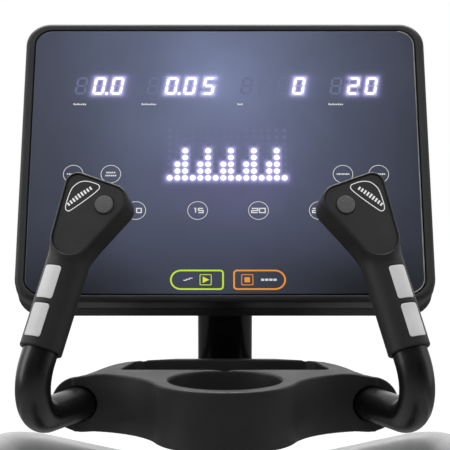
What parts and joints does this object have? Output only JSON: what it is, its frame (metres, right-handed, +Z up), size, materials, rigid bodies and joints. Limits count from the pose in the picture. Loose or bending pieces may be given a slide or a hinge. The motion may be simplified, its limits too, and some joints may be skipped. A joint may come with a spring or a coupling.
{
  "type": "stair climber",
  "caption": "Two-pedal stair climber: sprung parallelogram step arms in a shroud, leaning mast with LED console, tray, curved handlebars and looped handrails.",
  "frame": {"origin": "middle of the footprint on the floor", "axes": "+Z up, +X to the right of the user standing on the pedals, +Y the way the user faces"},
  "size_m": [0.74, 1.3, 1.7126],
  "materials": {
    "frame_paint": "satin powder coat",
    "silver_paint": "satin silver paint",
    "bar_paint": "gloss black paint",
    "bare_steel": "zinc plated",
    "pedal_metal": "black powder coat",
    "bronze": "sintered",
    "black_plastic": "fine grain",
    "grey_plastic": "fine grain",
    "button_plastic": "fine grain",
    "rubber_black": "matte",
    "pulse_metal": "satin plate",
    "board_green": "solder mask",
    "led_black": "potted LED",
    "display_glass": "tinted, glossy"
  },
  "bodies": {
    "frame": {"spine_rail": "frame_paint", "front_cross_tube": "frame_paint", "rear_cross_tube": "frame_paint", "tube_end_caps": "rubber_black", "levelling_feet": "rubber_black", "drive_base_plate": "frame_paint", "drive_plates": "frame_paint", "pivot_shafts": "bare_steel", "drive_chains": "bare_steel", "return_spring_drums": "black_plastic", "shaft_bearings": "bare_steel", "drive_belt": "rubber_black", "alternator": "bare_steel", "power_module": "grey_plastic", "shroud_left": "black_plastic", "shroud_right": "black_plastic", "mast_collar": "rubber_black", "mast": "frame_paint", "mast_cable": "rubber_black", "handrail_left": "silver_paint", "handrail_right": "silver_paint", "rail_sleeves": "rubber_black", "frame_bolts": "bare_steel", "tray": "grey_plastic", "tray_liner": "rubber_black", "tray_bracket": "frame_paint", "handlebar_left": "bar_paint", "handlebar_right": "bar_paint", "grip_left": "grey_plastic", "grip_right": "grey_plastic", "head_covers": "black_plastic", "switch_boards": "board_green", "pulse_plates": "pulse_metal", "console_bracket": "frame_paint", "console_housing": "black_plastic", "console_bezel": "black_plastic", "display_glass": "display_glass", "display_board": "board_green", "led_modules": "led_black", "control_board": "board_green", "console_screws": "bare_steel"},
    "arm_left": {"step_arm_left": "frame_paint", "arm_bushes_left": "bronze"},
    "arm_right": {"step_arm_right": "frame_paint", "arm_bushes_right": "bronze"},
    "link_left": {"level_link_left": "bare_steel"},
    "link_right": {"level_link_right": "bare_steel"},
    "pedal_left": {"pedal_frame_left": "pedal_metal", "pedal_pad_left": "rubber_black"},
    "pedal_right": {"pedal_frame_right": "pedal_metal", "pedal_pad_right": "rubber_black"},
    "sprocket_left": {"clutch_sprocket_left": "bare_steel"},
    "sprocket_right": {"clutch_sprocket_right": "bare_steel"},
    "drive_shaft": {"clutch_shaft": "bare_steel", "drive_pulley": "bare_steel"},
    "alternator_rotor": {"alternator_pulley": "bare_steel"},
    "button_left": {"thumb_button_left": "button_plastic"},
    "button_right": {"thumb_button_right": "button_plastic"},
    "wheel_left": {"transport_wheel_left": "rubber_black"},
    "wheel_right": {"transport_wheel_right": "rubber_black"}
  },
  "joints": [
    {"name": "step_left", "type": "hinge", "parent": "frame", "child": "arm_left", "pos_m": [-0.1, 0.2, 0.32], "axis": [1, 0, 0], "range_deg": [0, 42], "stiffness_Nm_per_rad": 40, "springref_deg": -51.57},
    {"name": "link_left_swing", "type": "hinge", "parent": "frame", "child": "link_left", "pos_m": [-0.1, 0.2, 0.4], "axis": [1, 0, 0], "range_deg": [0, 42]},
    {"name": "pedal_left_level", "type": "hinge", "parent": "arm_left", "child": "pedal_left", "pos_m": [-0.1, -0.22651, 0.49232], "axis": [1, 0, 0], "range_deg": [-42, 0]},
    {"name": "sprocket_left_turn", "type": "hinge", "parent": "frame", "child": "sprocket_left", "pos_m": [-0.06, 0.09, 0.5], "axis": [1, 0, 0], "range_deg": [0, 196.01]},
    {"name": "thumb_button_left_press", "type": "slide", "parent": "frame", "child": "button_left", "axis": [0.1574, 0.8925, -0.4226], "range_m": [0, 0.0012], "stiffness_N_per_m": 800, "springref_m": -0.0008},
    {"name": "wheel_left_roll", "type": "hinge", "parent": "frame", "child": "wheel_left", "pos_m": [-0.26, 0.612, 0.044], "axis": [1, 0, 0], "continuous": true},
    {"name": "step_right", "type": "hinge", "parent": "frame", "child": "arm_right", "pos_m": [0.1, 0.2, 0.32], "axis": [1, 0, 0], "range_deg": [0, 42], "stiffness_Nm_per_rad": 40, "springref_deg": -51.57},
    {"name": "link_right_swing", "type": "hinge", "parent": "frame", "child": "link_right", "pos_m": [0.1, 0.2, 0.4], "axis": [1, 0, 0], "range_deg": [0, 42]},
    {"name": "pedal_right_level", "type": "hinge", "parent": "arm_right", "child": "pedal_right", "pos_m": [0.1, -0.22651, 0.49232], "axis": [1, 0, 0], "range_deg": [-42, 0]},
    {"name": "sprocket_right_turn", "type": "hinge", "parent": "frame", "child": "sprocket_right", "pos_m": [0.06, 0.09, 0.5], "axis": [1, 0, 0], "range_deg": [0, 196.01]},
    {"name": "thumb_button_right_press", "type": "slide", "parent": "frame", "child": "button_right", "axis": [-0.1574, 0.8925, -0.4226], "range_m": [0, 0.0012], "stiffness_N_per_m": 800, "springref_m": -0.0008},
    {"name": "wheel_right_roll", "type": "hinge", "parent": "frame", "child": "wheel_right", "pos_m": [0.26, 0.612, 0.044], "axis": [1, 0, 0], "continuous": true},
    {"name": "drive_shaft_spin", "type": "hinge", "parent": "frame", "child": "drive_shaft", "pos_m": [0, 0.09, 0.5], "axis": [1, 0, 0], "continuous": true},
    {"name": "alternator_spin", "type": "hinge", "parent": "frame", "child": "alternator_rotor", "pos_m": [0, 0.33, 0.19], "axis": [1, 0, 0], "continuous": true}
  ],
  "couplings": [
    {"joint": "link_left_swing", "follows": "step_left", "ratio": 1},
    {"joint": "pedal_left_level", "follows": "step_left", "ratio": -1},
    {"joint": "sprocket_left_turn", "follows": "step_left", "ratio": 4.6667},
    {"joint": "link_right_swing", "follows": "step_right", "ratio": 1},
    {"joint": "pedal_right_level", "follows": "step_right", "ratio": -1},
    {"joint": "sprocket_right_turn", "follows": "step_right", "ratio": 4.6667},
    {"joint": "alternator_spin", "follows": "drive_shaft_spin", "ratio": 3.6364}
  ]
}
